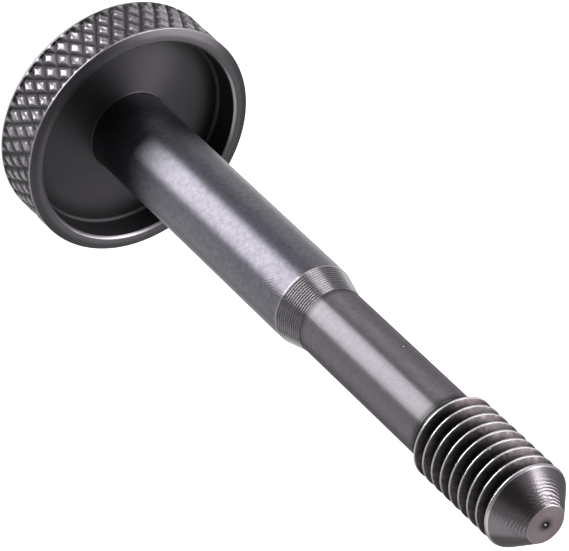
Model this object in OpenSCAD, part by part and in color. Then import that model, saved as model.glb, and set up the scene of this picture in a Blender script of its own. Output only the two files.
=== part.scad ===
// Blade clamp bolt of a quick-release oscillating tool, turned from one bar of steel.
// The knurled head has a recess on its underside, so that only a narrow rim presses on the blade.
// Above it come a plain shank, a conical step, a slimmer neck and a ringed end with a conical lead-in.
// The ringed end is gripped by jaws: its grooves are closed rings and not a screw thread.
// The bolt stands on the head's outer face, with its origin at the centre of that face.

/* [Head] */
// Diameter over the knurl
head_d = 20; // [18.6:0.2:26]
// Height from the outer face to the clamping rim
head_h = 4.95; // [3.7:0.05:8]
// Width of the 45 degree bevel round the outer face
face_bevel = 0.25; // [0.1:0.05:0.8]
// Width of the bevel outside the clamping rim
rim_bevel_w = 0.6; // [0.3:0.05:1]
// Height of the bevel outside the clamping rim
rim_bevel_h = 0.25; // [0.1:0.05:0.6]
// Width of the flat clamping rim
rim_w = 0.43; // [0.3:0.01:3]

/* [Recess] */
// Depth of the recess at its wall
recess_depth = 2.5; // [1:0.1:3.2]
// Rise of the recess floor from the wall to the shank
floor_rise = 0.7; // [0.1:0.05:0.9]
// Radius of the corner between the recess wall and its floor
corner_fillet = 0.4; // [0.1:0.05:0.8]
// Edge break at the mouth of the recess
mouth_bevel = 0.22; // [0.05:0.01:0.3]

/* [Knurl] */
// Distance from groove to groove, square to the grooves
knurl_pitch = 1.18; // [0.8:0.02:2]
// Angle between the grooves and the axis
knurl_angle = 30; // [20:1:45]
// Depth of the grooves
knurl_depth = 0.22; // [0.14:0.02:0.5]
// Width of the flat land left on each diamond
knurl_land = 0.5; // [0.1:0.02:0.7]
// Turn of the pattern about the axis
knurl_turn = 5.4; // [0:0.1:8]
// Height of the plain collar between the knurl and each bevel
collar_h = 0.15; // [0.05:0.05:0.4]

/* [Shank] */
// Diameter of the plain shank
shank_d = 6.85; // [6:0.05:9]
// Length of the plain shank above the clamping rim
shank_l = 25.3; // [10:0.1:40]
// Radius of the fillet between the recess floor and the shank
root_fillet = 0.25; // [0.1:0.05:0.6]
// Length of the conical step from the shank to the neck
step_l = 2.4; // [0.5:0.1:5]

/* [Neck] */
// Diameter of the neck
neck_d = 5.7; // [3:0.05:5.9]
// Length of the neck, from the step to the foot of the first ring
neck_l = 15.8; // [5:0.1:30]

/* [Ringed end] */
// Diameter over the rings
ring_d = 7; // [6.8:0.05:9]
// Distance from ring to ring
ring_pitch = 1.11; // [1:0.01:2]
// Number of grooves between the rings
groove_count = 8; // [2:1:12]
// Angle of each flank to the plane of the ring
flank_angle = 30; // [20:1:45]
// Width of the crest of each ring
crest_w = 0.13; // [0.05:0.01:0.2]
// Width of the bottom of each groove
root_w = 0.26; // [0.1:0.01:0.5]

/* [Tip] */
// Diameter of the flat end
tip_d = 3.2; // [1.5:0.1:5]
// Length of the conical lead-in
tip_l = 2.4; // [1:0.1:5]
// Diameter of the centre mark in the flat end
mark_d = 0.5; // [0.2:0.05:1]
// Depth of the centre mark
mark_depth = 0.2; // [0.1:0.05:0.5]

/* [Hidden] */
steel = "#59565d";
turn_sides = 120;
fillet_steps = 4;
// How far the knurling runs past the rim, in rows of diamonds
row_overrun = 0.25;

// Radii
head_r = head_d / 2;
rim_r = head_r - rim_bevel_w;
mouth_r = rim_r - rim_w;
recess_r = mouth_r - mouth_bevel;
shank_r = shank_d / 2;
neck_r = neck_d / 2;
ring_r = ring_d / 2;
groove_depth = (ring_pitch - crest_w - root_w) / 2 / tan(flank_angle);
root_r = ring_r - groove_depth;
tip_r = tip_d / 2;
mark_r = mark_d / 2;

// Heights above the outer face
knurl_top = head_h - rim_bevel_h;
wall_foot = head_h - recess_depth;
floor_top = wall_foot + floor_rise;
shank_top = head_h + shank_l;
neck_foot = shank_top + step_l;
ring_foot = neck_foot + neck_l;
first_ring = ring_foot + (ring_r - neck_r) * tan(flank_angle) + crest_w / 2;
last_ring = first_ring + groove_count * ring_pitch;
tip_foot = last_ring + crest_w / 2;
tip_top = tip_foot + tip_l;

// The knurl's diamonds: their count round the head, and the height of a row
knurl_n = round(PI * head_d * cos(knurl_angle) / knurl_pitch);
row_h = PI * head_d / knurl_n / 2 / tan(knurl_angle);
knurl_middle = (face_bevel + knurl_top) / 2;
rows_each_way = ceil((head_h - knurl_middle) / row_h + row_overrun);
row_count = 2 * rows_each_way;
valley_r = head_r - knurl_depth;
apex_r = valley_r + knurl_depth / (1 - knurl_land / knurl_pitch);
cutter_r = apex_r + knurl_pitch;
zone_foot = face_bevel + collar_h;
zone_top = knurl_top - collar_h;

function on_circle(r, angle, z) = [r * cos(angle), r * sin(angle), z];

// Points of an arc, from one angle to another
function arc(centre, r, from, to) = [
    for (i = [0 : fillet_steps])
        let (angle = from + (to - from) * i / fillet_steps)
        centre + r * [cos(angle), sin(angle)]
];

// The two fillets of the recess are tangent to its sloping floor
floor_slope = atan(floor_rise / (recess_r - shank_r));
corner_centre_r = recess_r - corner_fillet;
corner_centre_z = wall_foot + corner_fillet * (tan(floor_slope) + 1 / cos(floor_slope));
root_centre_r = shank_r + root_fillet;
root_centre_z = floor_top + root_fillet * (1 / cos(floor_slope) - tan(floor_slope));

head_profile = [
    [0, 0],
    [head_r - face_bevel, 0],
    [head_r, face_bevel],
    [head_r, knurl_top],
    [rim_r, head_h],
    [mouth_r, head_h],
    [recess_r, head_h - mouth_bevel]
];

recess_profile = concat(
    arc([corner_centre_r, corner_centre_z], corner_fillet, 0, -90 - floor_slope),
    arc([root_centre_r, root_centre_z], root_fillet, 270 - floor_slope, 180)
);

// One groove of the ringed end, from the crest below it to the crest above it
function groove(z) =
    let (middle = z + ring_pitch / 2)
    [
        [ring_r, z + crest_w / 2],
        [root_r, middle - root_w / 2],
        [root_r, middle + root_w / 2],
        [ring_r, z + ring_pitch - crest_w / 2]
    ];

shaft_profile = [
    [shank_r, shank_top],
    [neck_r, neck_foot],
    [neck_r, ring_foot],
    [ring_r, first_ring - crest_w / 2]
];

ringed_profile = [
    for (i = [0 : groove_count - 1])
        each groove(first_ring + i * ring_pitch)
];

tip_profile = [
    [ring_r, tip_foot],
    [tip_r, tip_top],
    [mark_r, tip_top],
    [0, tip_top - mark_depth]
];

// The bolt as it leaves the lathe, before knurling
module turned_blank() {
    rotate_extrude($fn = turn_sides)
        polygon(concat(head_profile, recess_profile, shaft_profile, ringed_profile, tip_profile));
}

// What the knurling presses out of the head: a ring whose bore is a net of pyramids.
// The blank's own surface cuts the pyramids off, which leaves a flat land on each diamond.
module knurl_cutter() {
    pitch_angle = 360 / knurl_n;
    outer_n = 2 * knurl_n;
    rows = [0 : row_count];
    columns = [0 : knurl_n - 1];
    function row_z(row) = knurl_middle + (row - rows_each_way) * row_h;
    function apex_angle(row, i) = knurl_turn + (i + (row % 2) / 2) * pitch_angle;

    valleys = [
        for (row = rows, i = columns)
            on_circle(valley_r, apex_angle(row, i) - pitch_angle / 2, row_z(row))
    ];
    apexes = [for (row = rows, i = columns) on_circle(apex_r, apex_angle(row, i), row_z(row))];
    outside = [
        for (row = [0, row_count], j = [0 : outer_n - 1])
            on_circle(cutter_r, apex_angle(0, (j - 1) / 2), row_z(row))
    ];

    // Places of the points in the list: a diamond's left corner, its apex, and the outer rim
    function left(row, i) = row * knurl_n + i % knurl_n;
    function right(row, i) = left(row, i + 1);
    function beyond(row, next, i) = left(next, i + row % 2);
    function apex(row, i) = len(valleys) + row * knurl_n + i % knurl_n;
    function outer(end, j) = len(valleys) + len(apexes) + end * outer_n + j % outer_n;

    upper_halves = [
        for (row = [0 : row_count - 1], i = columns)
            each [
                [apex(row, i), beyond(row, row + 1, i), left(row, i)],
                [apex(row, i), right(row, i), beyond(row, row + 1, i)]
            ]
    ];
    lower_halves = [
        for (row = [1 : row_count], i = columns)
            each [
                [apex(row, i), beyond(row, row - 1, i), right(row, i)],
                [apex(row, i), left(row, i), beyond(row, row - 1, i)]
            ]
    ];
    bottom = [
        for (i = columns)
            each [
                [outer(0, 2 * i), outer(0, 2 * i + 1), apex(0, i), left(0, i)],
                [outer(0, 2 * i + 1), outer(0, 2 * i + 2), right(0, i), apex(0, i)]
            ]
    ];
    top = [
        for (i = columns)
            each [
                [left(row_count, i), apex(row_count, i), outer(1, 2 * i + 1), outer(1, 2 * i)],
                [apex(row_count, i), right(row_count, i), outer(1, 2 * i + 2), outer(1, 2 * i + 1)]
            ]
    ];
    side = [
        for (j = [0 : outer_n - 1])
            [outer(0, j), outer(1, j), outer(1, j + 1), outer(0, j + 1)]
    ];

    polyhedron(
        points = concat(valleys, apexes, outside),
        faces = concat(upper_halves, lower_halves, bottom, top, side)
    );
}

// Where the knurling wheels reach: they stop short of both bevels, and the grooves run out at 45 degrees
module knurl_zone() {
    inner_r = valley_r - knurl_depth;
    inner_run = head_r - inner_r;
    outer_run = cutter_r - head_r;
    rotate_extrude($fn = turn_sides)
        polygon([
            [inner_r, zone_foot + inner_run],
            [cutter_r, zone_foot - outer_run],
            [cutter_r, zone_top + outer_run],
            [inner_r, zone_top - inner_run]
        ]);
}

module clamp_bolt() {
    color(steel)
        difference() {
            turned_blank();
            intersection() {
                knurl_cutter();
                knurl_zone();
            }
        }
}

clamp_bolt();
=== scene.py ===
# %% [markdown]
# # A blade clamp bolt
#
# This lesson dresses the solid of a clamp bolt: one bar of steel, turned, knurled and blackened.
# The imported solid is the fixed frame. It is loaded first, and its box is kept, because the finished
# bolt has to stay inside it. All sizes below are in millimetres, and Blender works in metres.

# %% Load the solid
import math

import bpy
from mathutils import Matrix, Vector, noise


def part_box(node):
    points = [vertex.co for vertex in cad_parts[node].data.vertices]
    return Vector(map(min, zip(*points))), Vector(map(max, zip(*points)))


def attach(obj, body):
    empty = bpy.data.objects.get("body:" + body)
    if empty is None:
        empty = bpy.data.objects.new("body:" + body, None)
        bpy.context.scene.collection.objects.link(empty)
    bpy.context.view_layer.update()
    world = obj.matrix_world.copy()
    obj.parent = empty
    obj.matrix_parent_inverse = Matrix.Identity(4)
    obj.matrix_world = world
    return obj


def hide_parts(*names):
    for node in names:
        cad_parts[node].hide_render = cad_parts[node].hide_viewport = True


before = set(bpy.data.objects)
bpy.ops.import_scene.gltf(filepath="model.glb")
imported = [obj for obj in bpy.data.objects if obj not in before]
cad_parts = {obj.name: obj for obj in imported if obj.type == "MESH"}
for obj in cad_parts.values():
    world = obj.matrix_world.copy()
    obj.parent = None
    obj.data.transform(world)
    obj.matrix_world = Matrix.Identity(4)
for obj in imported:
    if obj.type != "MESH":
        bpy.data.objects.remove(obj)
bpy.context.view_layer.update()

MM = 0.001
_, solid_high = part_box("clamp_bolt")
head_r = solid_high.x / MM
bolt_l = solid_high.z / MM
print(f"solid: head {2 * head_r:.2f} mm across, bolt {bolt_l:.2f} mm long")

# %% [markdown]
# ## Camera
#
# The camera comes first, so that every piece can be judged from the photograph's viewing angle.
# A long lens looks down on the standing bolt, and the camera is rolled until the bolt lies across
# the picture from the upper left to the lower right.

# %% Place the camera
camera_place = Vector((0, -225.989, 232.608)) * MM
camera_aim = Vector((-0.104, 0, 26.016)) * MM
camera_roll = math.radians(133.43)
lens_mm = 256.11
sensor_mm = 36

camera_data = bpy.data.cameras.new("photo_camera")
camera_data.lens = lens_mm
camera_data.sensor_width = sensor_mm
camera = bpy.data.objects.new("photo_camera", camera_data)
bpy.context.scene.collection.objects.link(camera)
level_view = (camera_aim - camera_place).to_track_quat("-Z", "Y").to_matrix().to_4x4()
camera.matrix_world = (Matrix.Translation(camera_place) @ level_view
                       @ Matrix.Rotation(camera_roll, 4, "Z"))
bpy.context.scene.camera = camera
print(f"camera: {(camera_aim - camera_place).length / MM:.0f} mm away, {lens_mm:.0f} mm lens")

# %% [markdown]
# ## The turned outline
#
# On the real bolt a lathe makes everything but the knurl. The same is done here: half of the
# bolt's section is drawn as a chain of edges, its corners are rounded by a vertex bevel, and the
# chain is spun about the axis. A real corner is never quite sharp, and the small rounds are what
# catches the light. These helpers draw a chain, round its corners and spin it.

# %% Helpers for turning
def edit(piece, pick=None):
    """Enters edit mode on the piece, with all selected, or with the vertices that pick names."""
    bpy.ops.object.mode_set(mode="OBJECT")
    bpy.ops.object.select_all(action="DESELECT")
    piece.select_set(True)
    bpy.context.view_layer.objects.active = piece
    mesh = piece.data
    for face in mesh.polygons:
        face.select = False
    for edge in mesh.edges:
        edge.select = False
    for vertex in mesh.vertices:
        vertex.select = pick is None or pick(vertex.co / MM)
    bpy.ops.object.mode_set(mode="EDIT")
    bpy.ops.mesh.select_mode(type="VERT")
    if pick is None:
        bpy.ops.mesh.select_all(action="SELECT")


def draw_chain(name, points, turn=0.0):
    """A chain of edges through (radius, height) points, in the half-plane at the angle turn."""
    if bpy.context.object is not None:
        bpy.ops.object.mode_set(mode="OBJECT")
    bpy.ops.object.select_all(action="DESELECT")
    bpy.ops.mesh.primitive_plane_add(size=MM)
    piece = bpy.context.object
    piece.name = name
    edit(piece)
    bpy.ops.mesh.merge(type="CENTER")
    here = Vector()
    for i, (radius, height) in enumerate(points):
        there = Vector((radius * math.cos(turn), radius * math.sin(turn), height)) * MM
        step = {"value": there - here}
        if i == 0:
            bpy.ops.transform.translate(**step)
        else:
            bpy.ops.mesh.extrude_region_move(TRANSFORM_OT_translate=step)
        here = there
    bpy.ops.object.mode_set(mode="OBJECT")
    return piece


def round_corners(piece, corners, reach, segments):
    """Rounds the chain at (radius, height) corners; each round starts at reach from its corner."""
    near = 1e-3

    def is_corner(place):
        radius = math.hypot(place.x, place.y)
        return any(math.hypot(radius - r, place.z - z) < near for r, z in corners)

    edit(piece, is_corner)
    bpy.ops.mesh.bevel(offset=reach * MM, segments=segments, affect="VERTICES")
    bpy.ops.object.mode_set(mode="OBJECT")


def spin_chain(piece, sides):
    """Spins the chain once round the bolt's axis and closes the seam and the poles."""
    edit(piece)
    bpy.ops.mesh.spin(steps=sides, angle=2 * math.pi, center=(0, 0, 0), axis=(0, 0, 1))
    bpy.ops.mesh.select_all(action="SELECT")
    bpy.ops.mesh.remove_doubles(threshold=1e-4 * MM)
    bpy.ops.object.mode_set(mode="OBJECT")
    print(f"{piece.name}: {len(piece.data.vertices)} vertices, {len(piece.data.polygons)} faces")

# %% [markdown]
# ## Recess, shank, neck, rings and tip
#
# One chain runs from the clamping rim down into the recess, over its sloping floor, up the shank,
# over the conical step and the neck, through the closed grooves of the ringed end, and down the
# conical lead-in to the centre mark. The ringed end is gripped by jaws, and is not a screw.

# %% Sizes of the turned length
diamonds_round, knurl_turn = 46, 5.4
ring_points = 4 * diamonds_round
first_diamond = math.radians(knurl_turn + 180 / diamonds_round)
head_h, rim_bevel_w, rim_w = 4.95, 0.6, 0.43
mouth_bevel, recess_depth, floor_rise = 0.22, 2.5, 0.7
rim_r = head_r - rim_bevel_w
mouth_r = rim_r - rim_w
recess_r = mouth_r - mouth_bevel
wall_foot = head_h - recess_depth
shank_d, shank_l, step_l = 6.85, 25.3, 2.4
shank_r, shank_top = shank_d / 2, head_h + shank_l
neck_d, neck_l = 5.7, 15.8
neck_r, neck_foot = neck_d / 2, shank_top + step_l
ring_foot = neck_foot + neck_l
ring_d, ring_pitch, groove_count = 7, 1.11, 8
crest_w, root_w, flank_angle = 0.13, 0.26, math.radians(30)
flank_h = (ring_pitch - crest_w - root_w) / 2
ring_r = ring_d / 2
root_r = ring_r - flank_h / math.tan(flank_angle)
first_crest = ring_foot + (ring_r - neck_r) * math.tan(flank_angle)
tip_d, tip_l = 3.2, 2.4
tip_r, tip_foot = tip_d / 2, bolt_l - tip_l
mark_d, mark_depth = 0.5, 0.2
mark_r = mark_d / 2
print(f"outline: shank {shank_d} mm, neck {neck_d} mm and rings {ring_d} mm across")

# %% [markdown]
# The chain starts on the flat rim, where the knurled band will join it. The recess corner, the foot
# of the first ring and the last crest get larger rounds than the other corners, because the
# photograph shows broad soft lights there.

# %% Draw, round and spin the turned length
join_inset = 0.25
rim_join_r = rim_r - join_inset
mouth = [(mouth_r, head_h), (recess_r, head_h - mouth_bevel)]
wall_corner = (recess_r, wall_foot)
root_corner = (shank_r, wall_foot + floor_rise)
shank_edge = (shank_r, shank_top)
neck_corner = (neck_r, neck_foot)
ring_corner = (neck_r, ring_foot)
crests = [(ring_r, first_crest)]
roots = []
for groove in range(groove_count):
    crest_end = first_crest + groove * ring_pitch + crest_w
    root_start = crest_end + flank_h
    crests.append((ring_r, crest_end))
    roots += [(root_r, root_start), (root_r, root_start + root_w)]
    crests.append((ring_r, crest_end + ring_pitch - crest_w))
crests.append((ring_r, tip_foot))
ringed = sorted(crests + roots, key=lambda corner: corner[1])
tip_edge = (tip_r, bolt_l)
mark_edge = (mark_r, bolt_l)

turned = draw_chain("turned_length", [
    (rim_join_r, head_h), *mouth, wall_corner, root_corner, shank_edge, neck_corner,
    ring_corner, *ringed, tip_edge, mark_edge, (0, bolt_l - mark_depth)], turn=first_diamond)
round_corners(turned, mouth, reach=0.06, segments=3)
round_corners(turned, [wall_corner], reach=0.35, segments=6)
round_corners(turned, [root_corner], reach=0.12, segments=4)
round_corners(turned, [shank_edge, neck_corner], reach=0.045, segments=3)
round_corners(turned, [ring_corner], reach=0.6, segments=8)
round_corners(turned, [tip_edge], reach=0.06, segments=3)
round_corners(turned, crests[:-1], reach=0.045, segments=3)
round_corners(turned, crests[-1:], reach=0.2, segments=5)
round_corners(turned, roots, reach=0.09, segments=3)
round_corners(turned, [mark_edge], reach=0.04, segments=3)
spin_chain(turned, ring_points)

# %% [markdown]
# ## The knurled band
#
# The knurl is pressed, not turned: two rollers leave rising and falling grooves that cut the rim
# into rows of diamonds. They stop short of both bevels, so a plain collar stays at each edge, and
# the grooves run out toward it. The band is spun with a fine grid, eight cells to half a diamond,
# so that grooves and lands fall on the grid.

# %% Sizes of the knurl
face_bevel, rim_bevel_h, collar_h = 0.25, 0.25, 0.15
knurl_top = head_h - rim_bevel_h
knurl_middle = (face_bevel + knurl_top) / 2
knurl_angle = math.radians(30)
knurl_pitch, knurl_land, knurl_depth = 1.18, 0.5, 0.22
row_h = math.pi * head_r / diamonds_round / math.tan(knurl_angle)
land_share = knurl_land / knurl_pitch
valley_r = head_r - knurl_depth
cells = 8
print(f"knurl: {diamonds_round} diamonds round, rows {row_h:.2f} mm apart")

# %% Draw and spin the band
band_sides = diamonds_round * 2 * cells
cell_h = row_h / cells
face_inset = 0.1
face_join_r = head_r - face_bevel - face_inset
lower = [(head_r - face_bevel, 0), (head_r, face_bevel)]
upper = [(head_r, knurl_top), (rim_r, head_h)]
row_margin = 0.2
lowest_row = math.ceil((face_bevel - knurl_middle) / cell_h + row_margin)
highest_row = math.floor((knurl_top - knurl_middle) / cell_h - row_margin)
rows = [(head_r, knurl_middle + row * cell_h) for row in range(lowest_row, highest_row + 1)]
band = draw_chain("knurled_band", [
    (face_join_r, 0), *lower, *rows, *upper, (rim_join_r, head_h)], turn=first_diamond)
round_corners(band, lower + upper[:1], reach=0.06, segments=3)
round_corners(band, upper[1:], reach=0.13, segments=4)
spin_chain(band, band_sides)

# %% [markdown]
# No operator presses a net of diamonds, so each vertex of the band is moved inward in code. Use has
# worn a shallow dimple into every land, deeper in some than in others. How far each point lies
# between groove and land is kept as the attribute "land", for the finish. The plain collars count
# as land too, the one at the outer face as a duller one.

# %% Press the diamonds
deepest_dimple, dimple_start, dimple_run = 0.06, 1.1, 0.4
dull_collar = 0.5


def groove_counts(place):
    """How many falling and how many rising grooves lie between the first diamond and a point."""
    along = (math.atan2(place.y, place.x) - first_diamond) * diamonds_round / (2 * math.pi)
    rise = (place.z - knurl_middle) / (2 * row_h)
    return along + rise + 0.5, along - rise + 0.5


def groove_distances(place):
    """Distance to the nearest falling and rising groove: 0 in a groove, 1 midway between two."""
    return [2 * abs(count - round(count)) for count in groove_counts(place)]


def wear(place):
    """A chance value from 0 to 1 for the diamond round a point, the same at every run."""
    falling, rising = (math.floor(count) for count in groove_counts(place))
    middle = Vector((falling % diamonds_round, falling - rising, 0)) + Vector((0.5, 0.5, 0.5))
    return (noise.cell(middle) + 1) / 2


lands = []
for vertex in band.data.vertices:
    place = vertex.co / MM
    radius = math.hypot(place.x, place.y)
    share = min(groove_distances(place)) / (1 - land_share)
    height = min(1, share)
    dimple = wear(place) * deepest_dimple * min(1, max(0, share - dimple_start) / dimple_run)
    run_out = max(0, min(place.z - face_bevel, knurl_top - place.z) - collar_h)
    pressed = min(radius, max(valley_r + knurl_depth * height - dimple, head_r - run_out))
    vertex.co.x *= pressed / radius
    vertex.co.y *= pressed / radius
    collar = 1 if place.z > knurl_middle else dull_collar
    lands.append(height if run_out > 0 else collar)
land_attribute = band.data.attributes.new("land", "FLOAT", "POINT")
land_attribute.data.foreach_set("value", lands)
print(f"band: {len(lands)} points, each set between groove and land")

# %% [markdown]
# Each grid cell has four corners, and a groove may cross it from corner to corner. The cells are
# cut into triangles along the groove that they lie on, so that every groove has a straight bottom.

# %% Cut the cells along the grooves
def cut_cells(method, wanted):
    """Cuts the cells that wanted picks into triangles, along their first or second diagonal."""
    edit(band, lambda place: False)
    bpy.ops.mesh.select_mode(type="FACE")
    bpy.ops.object.mode_set(mode="OBJECT")
    for face in band.data.polygons:
        face.select = len(face.vertices) == 4 and wanted(face)
    bpy.ops.object.mode_set(mode="EDIT")
    bpy.ops.mesh.quads_convert_to_tris(quad_method=method)
    bpy.ops.object.mode_set(mode="OBJECT")


def runs_with_groove(face):
    """True where the diagonal from the face's first corner to its third runs as its groove does."""
    first, third = (band.data.vertices[face.vertices[i]].co for i in (0, 2))
    turned_by = math.atan2(first.x * third.y - first.y * third.x,
                           first.x * third.x + first.y * third.y)
    rising = turned_by * (third.z - first.z) > 0
    to_falling, to_rising = groove_distances(face.center / MM)
    return rising == (to_rising < to_falling)


cut_cells("FIXED", runs_with_groove)
cut_cells("FIXED_ALTERNATE", lambda face: True)
print(f"band: {len(band.data.polygons)} triangles")

# %% [markdown]
# ## One closed bolt
#
# The outer face is a flat disc, drawn and spun as the rest. The coarse rings of the disc and of the
# turned length are subdivided until they match the band's fine rings point to point. This is done
# on flat faces, where it doesn't show. The three shells are then joined and the seams merged. The
# shading stays sharp at real edges and smooth elsewhere.

# %% Join the shells
slack = 0.01
face_rings = 6
sharp_from = math.radians(28)


def ring_at(radius, height):
    """Picks the points of one ring."""
    return lambda place: (abs(place.z - height) < slack
                          and abs(math.hypot(place.x, place.y) - radius) < slack)


face_points = [(face_join_r * (1 - i / face_rings), 0) for i in range(face_rings + 1)]
disc = draw_chain("outer_face", face_points, turn=first_diamond)
spin_chain(disc, ring_points)
seams = [(disc, face_join_r, 0), (turned, rim_join_r, head_h)]
for piece, radius, height in seams:
    edit(piece, ring_at(radius, height))
    bpy.ops.mesh.subdivide(number_cuts=band_sides // ring_points - 1)
    bpy.ops.object.mode_set(mode="OBJECT")
bolt = turned
bolt.name = bolt.data.name = "clamp_bolt_finished"
bpy.ops.object.select_all(action="DESELECT")
for piece in (disc, band, bolt):
    piece.select_set(True)
bpy.context.view_layer.objects.active = bolt
bpy.ops.object.join()
for _, radius, height in seams:
    edit(bolt, ring_at(radius, height))
    bpy.ops.mesh.remove_doubles(threshold=slack * MM)
edit(bolt)
bpy.ops.mesh.normals_make_consistent(inside=False)
bpy.ops.object.mode_set(mode="OBJECT")
bpy.ops.object.shade_smooth_by_angle(angle=sharp_from)
bpy.ops.object.modifier_add(type="WEIGHTED_NORMAL")
bolt.modifiers[-1].keep_sharp = True
bpy.ops.object.modifier_apply(modifier=bolt.modifiers[-1].name)
triangles = sum(len(face.vertices) - 2 for face in bolt.data.polygons)
edge_uses = {}
for face in bolt.data.polygons:
    for key in face.edge_keys:
        edge_uses[key] = edge_uses.get(key, 0) + 1
open_edges = sum(1 for uses in edge_uses.values() if uses != 2)
print(f"bolt: {triangles} triangles, {open_edges} open edges")

# %% [markdown]
# ## Finishes
#
# The bolt is blackened steel, and each of its lengths was turned, rubbed and darkened in its own
# way. A painted picture could be wrapped round it, but patterns that are worked out from the place
# on the bolt stay sharp from near and need no file. These helpers add a shader node and do a step
# of arithmetic.

# %% Helpers for nodes
def add(tree, kind, **settings):
    """Adds a shader node. A setting is a property of the node or an input, and may be a socket."""
    node = tree.nodes.new("ShaderNode" + kind)
    for name, value in settings.items():
        if hasattr(node, name):
            setattr(node, name, value)
            continue
        socket = node.inputs[int(name[1:]) if name[1:].isdigit() else name.replace("_", " ")]
        if isinstance(value, bpy.types.NodeSocket):
            tree.links.new(value, socket)
        else:
            socket.default_value = value
    return node


def calculate(tree, operation, first, second=0.0):
    """One step of arithmetic on two sockets or numbers."""
    return add(tree, "Math", operation=operation, i0=first, i1=second).outputs[0]


def plus(tree, first, second):
    """The sum of two sockets or numbers."""
    return calculate(tree, "ADD", first, second)


def times(tree, first, second):
    """The product of two sockets or numbers."""
    return calculate(tree, "MULTIPLY", first, second)

# %% [markdown]
# The tool marks run round the bolt. Such a surface spreads a highlight along the axis, so the
# shader is anisotropic, with its tangent turned round the bolt's axis. A steel comes with sockets
# that say where a point lies on the bolt, in millimetres.

# %% Start a steel
quarter_turn = 0.25


def new_steel(name, roughness, anisotropy, edge_tone=1.0):
    """A metal whose tool marks run round the axis, with sockets for places on the bolt."""
    material = bpy.data.materials.new(name)
    material.use_nodes = True
    tree = material.node_tree
    shader = tree.nodes["Principled BSDF"]
    shader.inputs["Metallic"].default_value = 1
    shader.inputs["Roughness"].default_value = roughness
    shader.inputs["Anisotropic"].default_value = anisotropy
    shader.inputs["Specular Tint"].default_value = (edge_tone, edge_tone, edge_tone, 1)
    shader.inputs["Anisotropic Rotation"].default_value = quarter_turn
    tangent = add(tree, "Tangent", direction_type="RADIAL", axis="Z")
    tree.links.new(tangent.outputs[0], shader.inputs["Tangent"])
    metres = add(tree, "TexCoord").outputs["Object"]
    place = add(tree, "VectorMath", operation="SCALE", i0=metres, Scale=1 / MM).outputs["Vector"]
    x, y, height = add(tree, "SeparateXYZ", Vector=place).outputs
    flat = add(tree, "CombineXYZ", X=x, Y=y).outputs[0]
    radius = add(tree, "VectorMath", operation="LENGTH", i0=flat).outputs["Value"]
    angle = calculate(tree, "ARCTAN2", x, times(tree, y, -1.0))
    along = calculate(tree, "SUBTRACT", height, radius)
    places = {"place": place, "height": height, "radius": radius, "angle": angle, "along": along}
    return material, tree, shader, places

# %% [markdown]
# A steel gets its base colour from a ramp of tones, with slight patches, and its relief from bump.
# The patterns are soft clouds, and the irregular fine lines that every turned face has.

# %% Patterns, tint and relief
plain_tint = (1.0, 0.935, 1.02)
patch_size, patch_strength = 0.9, 0.25


def fade(tree, value, start, end):
    """0 where the value is at start and 1 where it is at end, in millimetres or other units."""
    return add(tree, "MapRange", Value=value, From_Min=start, From_Max=end).outputs[0]


def cloud(tree, places, patch, detail=4.0):
    """Soft irregular patches of about this size in millimetres, from 0 to 1."""
    return add(tree, "TexNoise", Vector=places["place"], Scale=1 / patch, Detail=detail).outputs[0]


def tool_lines(tree, places, pitch):
    """Irregular fine lines round the axis, this far apart along the outline."""
    lines = add(tree, "TexNoise", noise_dimensions="1D", W=places["along"], Scale=1 / pitch,
                Detail=2.0)
    return lines.outputs[0]


def tint(tree, shader, places, share, tones, colour=plain_tint):
    """Base colour from a list of (position, tone), read at the share, with slight patches."""
    centred = calculate(tree, "SUBTRACT", cloud(tree, places, patch_size), 0.5)
    patches = times(tree, centred, patch_strength)
    ramp = add(tree, "ValToRGB", i0=plus(tree, share, patches)).outputs[0]
    stops = ramp.node.color_ramp.elements
    for i, (position, tone) in enumerate(tones):
        stop = stops[i] if i < len(stops) else stops.new(position)
        stop.position = position
        stop.color = (*(tone * c for c in colour), 1)
    tree.links.new(ramp, shader.inputs["Base Color"])


def relief(tree, shader, *layers):
    """Bump from several layers of (socket, depth in millimetres)."""
    total = 0.0
    for socket, depth in layers:
        total = plus(tree, times(tree, socket, depth), total)
    bump = add(tree, "Bump", Strength=1.0, Distance=MM, Height=total)
    tree.links.new(bump.outputs[0], shader.inputs["Normal"])

# %% [markdown]
# ### Turned faces, shaded recess and bright edges
#
# The rim and the outer face are smooth turned steel. The recess is painted darker as shade, most of
# all in its corner. The thin rounded edges are worn bright and painted brighter still as a highlight,
# brightest where the lead-in meets the last ring.

# %% Faces, recess and edges
tone_range = 0.15
corner_w, floor_w = 0.25, 1.6


def plain_steel(name, tone, roughness, anisotropy, pitch, depth):
    """Turned steel with fine lines and a tone that wanders a little."""
    material, tree, shader, places = new_steel(name, roughness, anisotropy)
    tones = [(0.3, (1 - tone_range) * tone), (0.7, (1 + tone_range) * tone)]
    tint(tree, shader, places, 0.5, tones)
    relief(tree, shader, (tool_lines(tree, places, pitch), depth))
    return material


finishes = {
    "face": plain_steel("turned_face_steel", tone=0.125, roughness=0.42, anisotropy=0.7,
                        pitch=0.12, depth=0.0012),
    # The edges and the last crest are worn bright, and painted brighter still as a highlight.
    "edge": plain_steel("worn_edge_highlight_steel", tone=0.4, roughness=0.3, anisotropy=0.5,
                        pitch=0.12, depth=0.001),
    "last_crest_highlight": plain_steel("worn_crest_highlight_steel", tone=0.75, roughness=0.3, anisotropy=0.3,
                              pitch=0.12, depth=0.001),
}

material, tree, shader, places = new_steel("recess_shade_steel", roughness=0.42, anisotropy=0.7)
# Painted shade: the recess is dark, and darkest at its wall corner.
corner_shade = fade(tree, places["radius"], recess_r - corner_w, recess_r - floor_w)
tint(tree, shader, places, corner_shade, [(0.15, 0.05), (0.9, 0.072)])
relief(tree, shader, (tool_lines(tree, places, pitch=0.2), 0.001))
finishes["recess"] = material
print(f"head: {', '.join(finishes)}")
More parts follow.
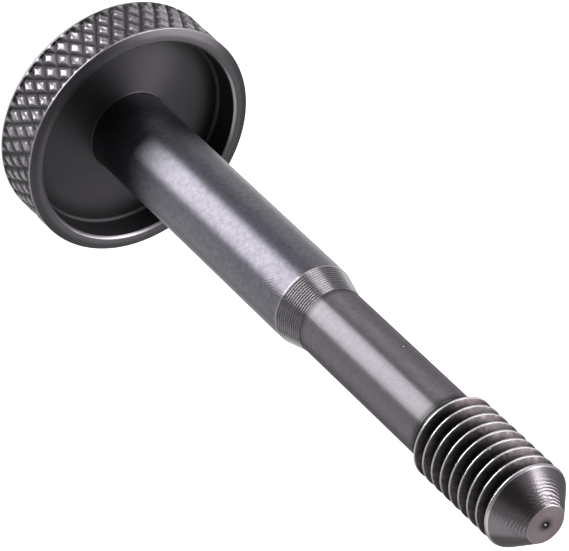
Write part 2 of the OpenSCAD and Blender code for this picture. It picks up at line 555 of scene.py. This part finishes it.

# %% [markdown]
# ### Knurl
#
# Oil and oxide stay dark in the grooves, and their tone is painted darker still as shade; hands
# polish the lands. The tone follows the attribute "land" from the pressing.

# %% Knurl
material, tree, shader, places = new_steel("knurled_steel", roughness=0.36, anisotropy=0.0)
land = add(tree, "Attribute", attribute_name="land").outputs["Fac"]
# Oxide and painted shade: the grooves are given the darkest tone.
tint(tree, shader, places, land, [(0.1, 0.06), (0.55, 0.13), (0.95, 0.26)])
relief(tree, shader, (cloud(tree, places, patch=0.12), 0.008))
finishes["knurl"] = material
print(f"knurl: {material.name}")

# %% [markdown]
# ### Shank
#
# The shank looks polished after turning. Only faint lines are left, the tone is mottled, and
# slanted waves lie near the step, as a polishing belt leaves them where it runs out. They are
# shallow, so they are made as bump and not as geometry.

# %% Shank
cool_tint = (1.0, 0.945, 1.11)
wave_pitch, wave_depth, wave_wobble = 0.32, 0.0026, 0.4
wave_start, wave_full = shank_top - 4.5, shank_top - 2

material, tree, shader, places = new_steel("shank_steel", roughness=0.37, anisotropy=0.3,
                                           edge_tone=0.85)
mottle = cloud(tree, places, patch=0.35)
tint(tree, shader, places, mottle, [(0.2, 0.108), (0.8, 0.172)], cool_tint)
slant = plus(tree, places["height"], times(tree, places["angle"], shank_r))
wobble = times(tree, cloud(tree, places, patch=1.2, detail=1.0), wave_wobble)
wave_turns = times(tree, plus(tree, slant, wobble), 2 * math.pi / wave_pitch)
near_step = fade(tree, places["height"], wave_start, wave_full)
waves = times(tree, calculate(tree, "SINE", wave_turns), near_step)
relief(tree, shader, (tool_lines(tree, places, pitch=0.1), 0.0006), (waves, wave_depth))
finishes["shank"] = material
print(f"shank: waves over the last {shank_top - wave_start:.1f} mm")

# %% [markdown]
# ### Step and neck
#
# The step and the neck keep the regular marks of the lathe's feed. In the picture they are only
# about two pixels wide, too fine for bump, so the surface itself is tipped to and fro along the
# axis.

# %% Step
step_slope = 0.11


def feed_marks(tree, places, pitch):
    """Regular fine grooves round the axis, as a lathe tool leaves them at a steady feed."""
    return calculate(tree, "SINE", times(tree, places["along"], 2 * math.pi / pitch))


def tilt(tree, shader, slope):
    """Tips the surface along the axis by a slope, for marks too fine for bump."""
    normal = add(tree, "TexCoord").outputs["Normal"]
    lean = add(tree, "CombineXYZ", Z=slope).outputs[0]
    tipped = add(tree, "VectorMath", operation="ADD", i0=normal, i1=lean).outputs[0]
    turned_out = add(tree, "VectorTransform", vector_type="NORMAL", convert_from="OBJECT",
                     convert_to="WORLD", Vector=tipped).outputs[0]
    straight = add(tree, "VectorMath", operation="NORMALIZE", i0=turned_out).outputs[0]
    tree.links.new(straight, shader.inputs["Normal"])


material, tree, shader, places = new_steel("step_steel", roughness=0.27, anisotropy=0.2)
tint(tree, shader, places, cloud(tree, places, patch=0.4), [(0.2, 0.18), (0.8, 0.235)])
tilt(tree, shader, times(tree, feed_marks(tree, places, pitch=0.25), step_slope))
finishes["step"] = material
print(f"step: marks tipped by {step_slope}")

# %% [markdown]
# On the neck only one side of each mark is tipped, more in some places than in others. Its corners
# at the step and at the first ring are painted dark as shade, and a small pit is painted as a dark
# spot of shade with a painted highlight in it. These are mixed into the base colour.

# %% Neck
neck_tint = (1.0, 0.91, 1.02)
mark_edge, least_slope, slope_range = 0.3, 0.33, 0.35
pit, pit_shade_r, pit_painted_glint_r = (-2.308, -1.673, 40.893), 0.24, 0.12
core_share = 0.5


def spot(tree, places, centre, radius):
    """1 at a point of the bolt, fading to 0 at the radius in millimetres."""
    away = add(tree, "VectorMath", operation="DISTANCE", i0=places["place"], i1=centre)
    return fade(tree, away.outputs["Value"], radius, core_share * radius)


def touch_up(tree, shader, mask, tone):
    """Mixes a tone into the base colour where the mask is 1."""
    colour = shader.inputs["Base Color"].links[0].from_socket
    mixed = add(tree, "Mix", data_type="RGBA", i0=mask, i6=colour, i7=(tone, tone, tone, 1))
    tree.links.new(mixed.outputs[2], shader.inputs["Base Color"])


material, tree, shader, places = new_steel("neck_steel", roughness=0.3, anisotropy=0.2,
                                           edge_tone=0.45)
tint(tree, shader, places, cloud(tree, places, patch=0.4), [(0.2, 0.19), (0.8, 0.245)], neck_tint)
one_side = fade(tree, feed_marks(tree, places, pitch=0.22), -mark_edge, mark_edge)
steepness = plus(tree, times(tree, cloud(tree, places, patch=0.5), slope_range), least_slope)
tilt(tree, shader, times(tree, one_side, steepness))
# Painted shade and a painted highlight: a dark spot stands for the pit, with a bright dot in it.
touch_up(tree, shader, spot(tree, places, pit, pit_shade_r), tone=0.05)
touch_up(tree, shader, spot(tree, places, pit, pit_painted_glint_r), tone=1.0)
# Painted shade: the neck is darkened toward the first ring and toward the step.
ring_corner_shade = fade(tree, places["height"], ring_foot - 1.1, ring_foot - 0.5)
step_corner_shade = fade(tree, places["height"], neck_foot + 0.6, neck_foot + 0.1)
touch_up(tree, shader, ring_corner_shade, tone=0.07)
touch_up(tree, shader, step_corner_shade, tone=0.11)
finishes["neck"] = material
print(f"neck: pit {pit[2] - neck_foot:.1f} mm above the step")

# %% [markdown]
# ### Rings
#
# The grooves are painted nearly black as shade, with brownish mottled flanks. The crests are rubbed
# bright by the jaws and painted brighter still as a highlight, and one of them has a nick.

# %% Rings
warm_tint, mottle_strength = (1.0, 0.86, 0.9), 1.1
nick, nick_r = (-1.203, -3.287, 54.557), 0.16

material, tree, shader, places = new_steel("ring_steel", roughness=0.36, anisotropy=0.3,
                                           edge_tone=0.35)
groove_shade_crest_highlight = fade(tree, places["radius"], root_r, ring_r)
centred = calculate(tree, "SUBTRACT", cloud(tree, places, patch=0.45), 0.5)
mottled_share = plus(tree, groove_shade_crest_highlight, times(tree, centred, mottle_strength))
# Painted shade: the tone falls to near black toward the roots of the grooves.
tint(tree, shader, places, mottled_share, [(0.1, 0.04), (0.75, 0.1), (1.0, 0.18)], warm_tint)
# Painted highlight on the crests, on top of the rubbing by the jaws.
touch_up(tree, shader, fade(tree, groove_shade_crest_highlight, 0.9, 0.97), tone=0.65)
touch_up(tree, shader, spot(tree, places, nick, nick_r), tone=0.7)
flank_lines, flank_lumps = tool_lines(tree, places, pitch=0.08), cloud(tree, places, patch=0.25)
relief(tree, shader, (flank_lines, 0.002), (flank_lumps, 0.02))
finishes["rings"] = material
print(f"rings: {groove_count + 1} crests")

# %% [markdown]
# ### Tip
#
# The tool chattered on the conical lead-in and left short ripples toward its end. The flat end is
# matt, with fine rings, and darker toward the centre mark, whose shade and highlight are painted.

# %% Tip
lead_in_tint, end_tint = (1.0, 0.9, 0.98), (1.0, 0.83, 0.88)
ripples_along, ripples_round, ripple_stir, ripple_depth = 16.0, 10.0, 12.0, 0.009
ripple_start, ripple_full = bolt_l - 1.8, bolt_l - 0.5
painted_glint, painted_glint_r = (0.0, 0.13, bolt_l - 0.1), 0.11

material, tree, shader, places = new_steel("lead_in_steel", roughness=0.27, anisotropy=0.3,
                                           edge_tone=0.8)
tint(tree, shader, places, 0.5, [(0.3, 0.22), (0.7, 0.3)], lead_in_tint)
crossing = plus(tree, times(tree, places["along"], ripples_along),
                times(tree, places["angle"], ripples_round))
stirred = plus(tree, crossing, times(tree, cloud(tree, places, patch=0.8), ripple_stir))
near_end = fade(tree, places["height"], ripple_start, ripple_full)
ripple = times(tree, calculate(tree, "SINE", stirred), near_end)
relief(tree, shader, (ripple, ripple_depth), (tool_lines(tree, places, pitch=0.12), 0.0015))
finishes["lead_in"] = material

material, tree, shader, places = new_steel("end_steel", roughness=0.45, anisotropy=0.3)
# Painted shade: the end darkens toward the centre mark.
mark_shade_share = fade(tree, places["radius"], 0.0, tip_r)
tint(tree, shader, places, mark_shade_share, [(0.14, 0.012), (0.3, 0.17), (0.5, 0.27)], end_tint)
# Painted highlight: a bright spot in the centre mark.
touch_up(tree, shader, spot(tree, places, painted_glint, painted_glint_r), tone=1.0)
relief(tree, shader, (tool_lines(tree, places, pitch=0.1), 0.0015))
finishes["end"] = material
print(f"finishes: {', '.join(finishes)}")

# %% [markdown]
# ### Which finish goes where
#
# Faces could be picked by hand, but the outline already says where each length begins and ends.
# Each face takes the finish of the length or corner that its centre lies on, and the corner at the
# foot of the neck takes the recess's, as painted shade.

# %% Give each part of the bolt its finish
round_w, corner_h = 0.06, 0.05
bevel_foot_r = rim_r + 0.2
ring_toe_h, crest_h = 0.1, 0.16
# The corner at the foot of the neck takes the recess's painted shade.
lengths = [("shank", shank_top - corner_h), ("edge", shank_top + corner_h - slack),
           ("step", neck_foot - corner_h), ("recess", neck_foot + corner_h),
           ("neck", ring_foot + ring_toe_h), ("rings", tip_foot - round_w),
           ("last_crest_highlight", tip_foot + crest_h)]


def finish_of(radius, height):
    """The finish at a point of the bolt's outline."""
    if radius > valley_r - slack and face_bevel < height < knurl_top - round_w:
        return "knurl"
    if radius > head_r - round_w and height > knurl_top - round_w - slack:
        return "edge"
    if radius > bevel_foot_r:
        return "face"
    if radius > recess_r + slack / 2 or height < slack:
        return "edge" if radius < mouth_r and height > wall_foot else "face"
    if radius > shank_r + slack and height < head_h:
        return "recess"
    for name, top in lengths:
        if height < top:
            return name
    if height > bolt_l - corner_h and abs(radius - tip_r) < round_w:
        return "edge"
    return "end" if radius < tip_r - 2 * slack else "lead_in"


order = list(finishes)
bolt.data.materials.clear()
for finish in order:
    bolt.data.materials.append(finishes[finish])
for face in bolt.data.polygons:
    place = face.center / MM
    face.material_index = order.index(finish_of(math.hypot(place.x, place.y), place.z))
print(f"faces: {len(bolt.data.polygons)} in {len(order)} finishes")

# %% [markdown]
# ## Floor and light
#
# The photograph has a plain white ground, and its light strip on the shank comes from below, as if
# the bolt was lit through a translucent white table. The floor is that table. It glows, so that it
# stays white, and lets the lamps below it through, so it casts no shadow and isn't mirrored. It
# lies a hair below the bolt, because two faces at the same height would show through each other.

# %% Floor
floor_size, floor_gap, floor_glow = 4, 0.05, 0.85
bpy.ops.object.select_all(action="DESELECT")
bpy.ops.mesh.primitive_plane_add(size=floor_size, location=(0, 0, -floor_gap * MM))
floor = bpy.context.object
floor.name = "floor"
table = bpy.data.materials.new("white_light_table")
table.use_nodes = True
table_shader = table.node_tree.nodes["Principled BSDF"]
table_shader.inputs["Base Color"].default_value = (0.9, 0.9, 0.9, 1)
table_shader.inputs["Roughness"].default_value = 0.9
table_shader.inputs["Emission Color"].default_value = (1, 1, 1, 1)
table_shader.inputs["Emission Strength"].default_value = floor_glow
floor.data.materials.append(table)
floor.visible_glossy = False
floor.visible_shadow = False
print(f"floor: {floor_size} m square, {floor_gap} mm below the bolt")

# %% [markdown]
# Polished steel shows its lamps, so each lamp is a large soft panel whose mirror image is a band on
# the bolt. The one below the table makes the strip along the shank, those at the left light the
# knurl's lands and the patch on the step, and the weaker ones draw the far edges.

# %% Lamps
lamp_distance, lamp_height = 400, 30


def soft_lamp(name, azimuth, elevation, width, height, watts):
    """A large soft lamp that faces the bolt; azimuth 0 is the camera's side, sizes in mm."""
    a, e = math.radians(azimuth), math.radians(elevation)
    out = Vector((math.sin(a) * math.cos(e), -math.cos(a) * math.cos(e), math.sin(e)))
    data = bpy.data.lights.new(name, "AREA")
    data.shape = "RECTANGLE"
    data.size, data.size_y = width * MM, height * MM
    data.energy = watts
    lamp = bpy.data.objects.new(name, data)
    lamp.location = Vector((0, 0, lamp_height)) * MM + out * lamp_distance * MM
    lamp.rotation_euler = out.to_track_quat("Z", "Y").to_euler()
    bpy.context.scene.collection.objects.link(lamp)


soft_lamp("key_below", azimuth=3, elevation=-45, width=330, height=180, watts=1.5)
soft_lamp("left_lamp", azimuth=-105, elevation=40, width=420, height=220, watts=1.2)
soft_lamp("back_lamp", azimuth=180, elevation=45, width=260, height=200, watts=0.14)
soft_lamp("right_lamp", azimuth=95, elevation=20, width=420, height=200, watts=0.15)
soft_lamp("back_below", azimuth=180, elevation=-40, width=700, height=200, watts=0.34)
soft_lamp("right_below", azimuth=85, elevation=-45, width=420, height=180, watts=0.27)
soft_lamp("left_low", azimuth=-55, elevation=-15, width=220, height=160, watts=0.38)
soft_lamp("left_below", azimuth=-115, elevation=-45, width=400, height=180, watts=0.2)
print(f"lamps: {len(bpy.data.lights)}")

# %% [markdown]
# The rest of the room is pale, apart from a dark corner on the side that the photograph was taken
# from. The front of the lead-in mirrors it. The corner lies in a fixed direction, whatever the
# view.

# %% Room
pale_room, dark_room = 0.28, 0.04
dark_from, dark_full = 0.8, 0.95
world = bpy.data.worlds.new("studio")
bpy.context.scene.world = world
world.use_nodes = True
room = world.node_tree
background = room.nodes["Background"]
background.inputs["Color"].default_value = (1, 1, 1, 1)
dark_corner = (camera_place - camera_aim).normalized()
toward_corner = add(room, "VectorMath", operation="DOT_PRODUCT",
                    i0=add(room, "TexCoord").outputs["Generated"], i1=dark_corner)
room_light = add(room, "MapRange", Value=toward_corner.outputs["Value"], From_Min=dark_from,
                 From_Max=dark_full, To_Min=pale_room, To_Max=dark_room)
room.links.new(room_light.outputs[0], background.inputs["Strength"])
bpy.context.scene.view_settings.view_transform = "Standard"
print(f"room: {pale_room} bright, {dark_room} in the dark corner")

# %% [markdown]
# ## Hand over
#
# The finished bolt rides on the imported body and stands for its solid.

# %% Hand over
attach(bolt, "root")
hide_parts("clamp_bolt")
